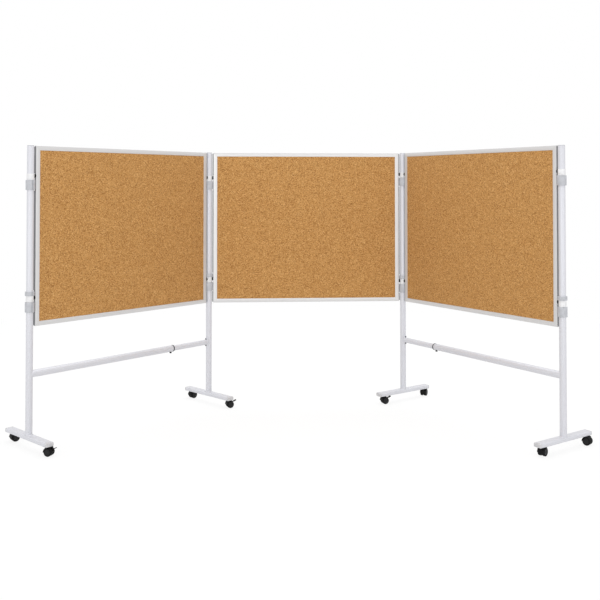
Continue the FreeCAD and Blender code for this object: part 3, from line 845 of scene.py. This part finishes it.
def wheelShape():
    radius, inner, outer, edge = castor["wheelRadius"], castor["inner"], castor["outer"], castor["edge"]
    rim, hub, dish, slope = castor["rim"], castor["hub"], castor["dish"], castor["slope"]
    lip, half = castor["lip"], castor["grooveHalf"]
    profile = [(0.0, castor["boreEnd"]), (castor["bore"], castor["boreEnd"]), (castor["bore"], inner),
               (radius - lip, inner), (radius, inner + lip)]
    for place in castor["grooves"]:
        profile += [(radius, place - half), (radius - castor["groove"], place), (radius, place + half)]
    profile += [(radius - edge * inward, outer - edge * back) for inward, back in castor["edgeCurve"]]
    profile += [(rim, outer), (rim - slope, dish), (hub, dish), (hub - slope, castor["hubEnd"]), (0.0, outer)]
    wheel = spun(profile, sides=56, closed=False)
    for face in wheel.faces:
        middle = face.calc_center_median()
        face.material_index = 0 if math.hypot(middle.x, middle.y) > castor["treadFrom"] else 1
    return wheel


def wheelsShape():
    bm = bmesh.new()
    for tip in (0.0, 180.0):
        addTo(bm, wheelShape(), axlePlace @ turn(tip, "X"))
    return bm


def neckShape():
    neck = tubeShape(castor["neckRadius"], castor["stemRadius"], 0.0, castor["top"], sides=32)
    for vert in neck.verts:
        if vert.co.z < tiny:      # seated on the hood's crown
            reach = castor["trail"] - vert.co.x
            crown = castor["wheelRadius"] + math.sqrt(castor["hoodOuter"] ** 2 - reach ** 2)
            vert.co.z = crown - castor["neckSink"]
    rims = [edge for edge in sharpEdges(neck) if edge.verts[0].co.z > castor["top"] - tiny]
    return softened(neck, castor["neckRound"], edges=rims)


def castorShape(braked):
    bm = bmesh.new()
    half, web, axle, slot = castor["webHalf"], castor["webRadius"], castor["axleRadius"], lever["slotHalf"]
    shell = tubeShape(castor["hoodOuter"], castor["hoodInner"], -castor["hoodHalf"], castor["hoodHalf"],
                      sides=40, start=castor["hoodStart"], sweep=castor["hoodEnd"] - castor["hoodStart"])
    addTo(bm, softened(shell, castor["hoodRound"], segments=3), axlePlace)
    rib = tubeShape(castor["ribOuter"], castor["ribInner"], -half, half,
                    sides=40, start=castor["ribStart"], sweep=castor["hoodEnd"] - castor["ribStart"])
    addTo(bm, rib, axlePlace)
    if braked:      # a slot for the lever between two cheeks
        sweep = 360.0 + lever["slotFrom"] - lever["slotTo"]
        cheeks = [tubeShape(web, axle, -slot, slot, sides=56, start=lever["slotTo"], sweep=sweep),
                  tubeShape(web, axle, -half, -slot, sides=56),
                  tubeShape(web, axle, slot, half, sides=56)]
    else:
        cheeks = [tubeShape(web, axle, -half, half, sides=56)]
    for cheek in cheeks:
        cheek.transform(axlePlace)
        addTo(bm, trimmed(cheek, castor["webFloor"]))
    addTo(bm, neckShape())
    stem = rodShape(castor["stemRadius"], castor["stemLow"], castor["stemTop"], sides=24)
    addTo(bm, softened(stem, castor["stemRound"]), finish=1)
    addTo(bm, rodShape(axle, -castor["axleHalf"], castor["axleHalf"], sides=20), axlePlace, finish=1)
    return bm


def leverShape():
    bm = bmesh.new()
    start, end, wide = lever["tabStart"], lever["length"], lever["tab"] / 2
    arm, up, across = lever["arm"] / 2, lever["thick"] / 2, lever["ribAcross"]
    addTo(bm, boxShape((0.0, -arm, -up), (lever["armEnd"], arm, up)))
    tab = flatShape([(start, -wide, -up), (end, -wide, -up), (end, wide, -up), (start, wide, -up)])
    extruded(roundCorners(tab, lever["tabCorner"], segments=5), (0, 0, lever["thick"]))
    addTo(bm, softened(tab, lever["tabRound"]))
    for place in lever["ribs"]:
        ridge = boxShape((place - lever["ribHalf"], -across, up - lever["ribSink"]),
                         (place + lever["ribHalf"], across, up + lever["ribRise"]))
        addTo(bm, softened(ridge, lever["ribRound"], segments=1))
    addTo(bm, rodShape(lever["root"], -arm, arm, sides=24), turn(90.0, "X"))
    addTo(bm, rodShape(lever["pin"], -lever["pinHalf"], lever["pinHalf"], sides=16), turn(90.0, "X"))
    bm.transform(shift(lever["ahead"], 0.0, lever["lift"]) @ turn(-lever["rest"], "Y"))
    return bm


castorFinishes = [plastic["hoodBlack"], steel]
wheelFinishes = [plastic["treadBlack"], plastic["hubBlack"]]
castorNames = [f"{side}_{end}_{way}" for side in stands
               for end in ("inner", "outer") for way in ("front", "rear")]
for name in castorNames:
    braked = f"{name}_brake" in joints
    pieces = [("castor", castorShape(braked), castorFinishes, "black_plastic"),
              ("wheels", wheelsShape(), wheelFinishes, "wheel_black")]
    if braked:
        pieces.append(("brake_lever", leverShape(), [plastic["hoodBlack"]], "black_plastic"))
    for word, bm, finishes, slot in pieces:
        node = f"{name}_{word}"
        makePiece(node, bm, castorPlace(name), finishes, node)
print("castors done")


# Studio: pale floor, white surroundings, soft light, camera at the photo's viewpoint

studio = {
    "floorHalf": 30.0, "floorTone": 0.98, "floorBounce": 0.78, "floorRoughness": 0.9,
    "floorGlow": 0.85, "fadeStart": 2.2, "fadeEnd": 5.5, "ambient": 0.83,
    "lamps": {      # watts, width, place, aim
        "leftSoftbox": (590.0, 9.0, (-6.0, -12.5, 0.9), (0.0, -0.5, 1.1)),
        "rightSoftbox": (390.0, 9.0, (6.0, -12.5, 0.9), (0.0, -0.5, 1.1)),
        "topSoftbox": (410.0, 8.0, (0.0, 0.9, 10.0), (0.0, -0.6, 1.0)),
    },
}
view = {
    "place": (-0.4647, -6.7003, 1.7214), "yaw": 0.0613, "pitch": 0.0207,
    "lens": 49.76, "sensor": 36.0, "shiftY": -0.2162,
}
white = (1.0, 1.0, 1.0, 1.0)


def blended(tree, factor, first, second, output):
    made = addNode(tree, "ShaderNodeMixShader")
    for index, source in enumerate((factor, first, second)):
        link(tree, source, made.inputs[index])
    link(tree, made.outputs["Shader"], tree.nodes[output].inputs["Surface"])


def makeFloor():
    bm = bmesh.new()
    bmesh.ops.create_grid(bm, x_segments=1, y_segments=1, size=studio["floorHalf"])
    mesh = bpy.data.meshes.new("studioFloor")
    bm.to_mesh(mesh)
    bm.free()
    floor = bpy.data.objects.new("studioFloor", mesh)
    scene.collection.objects.link(floor)
    tone, bounce = (studio["floorTone"],) * 3, (studio["floorBounce"],) * 3
    finish, tree, shader = startFinish("floorPaper", tone, studio["floorRoughness"], Specular_IOR_Level=0.0)
    rays = addNode(tree, "ShaderNodeLightPath")
    paper = mixed(tree, rays.outputs["Is Camera Ray"], (*bounce, 1.0), (*tone, 1.0))
    link(tree, paper, shader.inputs["Base Color"])
    away = addNode(tree, "ShaderNodeVectorMath", operation="LENGTH")
    link(tree, objectPoint(tree), away.inputs[0])
    fade = addNode(tree, "ShaderNodeMapRange", {      # whiter with the distance, to meet the surroundings
        "From Min": studio["fadeStart"], "From Max": studio["fadeEnd"],
        "To Min": studio["floorGlow"], "To Max": 1.0})
    link(tree, away.outputs["Value"], fade.inputs["Value"])
    seen = combined(tree, "MAXIMUM", rays.outputs["Is Camera Ray"], rays.outputs["Is Glossy Ray"])
    share = combined(tree, "MULTIPLY", seen, fade.outputs["Result"])
    glow = addNode(tree, "ShaderNodeEmission", {"Color": white, "Strength": 1.0})
    blended(tree, share, shader.outputs["BSDF"], glow.outputs["Emission"], "Material Output")
    mesh.materials.append(finish)
    floor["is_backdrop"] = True


def makeWorld():
    world = bpy.data.worlds.new("studioWorld")
    world.use_nodes = True
    tree = world.node_tree
    soft = tree.nodes["Background"]
    soft.inputs["Color"].default_value = white
    soft.inputs["Strength"].default_value = studio["ambient"]
    plain = addNode(tree, "ShaderNodeBackground", {"Color": white, "Strength": 1.0})
    rays = addNode(tree, "ShaderNodeLightPath")
    seen = rays.outputs["Is Camera Ray"]
    for ray in ("Is Glossy Ray", "Is Transmission Ray"):
        seen = combined(tree, "MAXIMUM", seen, rays.outputs[ray])
    blended(tree, seen, soft.outputs["Background"], plain.outputs["Background"], "World Output")
    scene.world = world


def makeLamp(name, power, size, place, aim):
    lamp = bpy.data.lights.new(name, "AREA")
    lamp.energy = power
    lamp.size = size
    lampObject = bpy.data.objects.new(name, lamp)
    lampObject.location = place
    lampObject.rotation_euler = (Vector(aim) - Vector(place)).to_track_quat("-Z", "Y").to_euler()
    lampObject.visible_camera = False
    scene.collection.objects.link(lampObject)


def makeCamera():
    camera = bpy.data.cameras.new("camera")
    camera.lens = view["lens"]
    camera.sensor_width = view["sensor"]
    camera.shift_y = view["shiftY"]
    cameraObject = bpy.data.objects.new("camera", camera)
    cameraObject.location = view["place"]
    cameraObject.rotation_euler = (math.pi / 2 + view["pitch"], 0.0, -view["yaw"])
    scene.collection.objects.link(cameraObject)
    bpy.context.scene.camera = cameraObject


makeFloor()
makeWorld()
for name, lamp in studio["lamps"].items():
    makeLamp(name, *lamp)
makeCamera()
scene.view_settings.view_transform = "Standard"
print("studio done")

low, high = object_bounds()
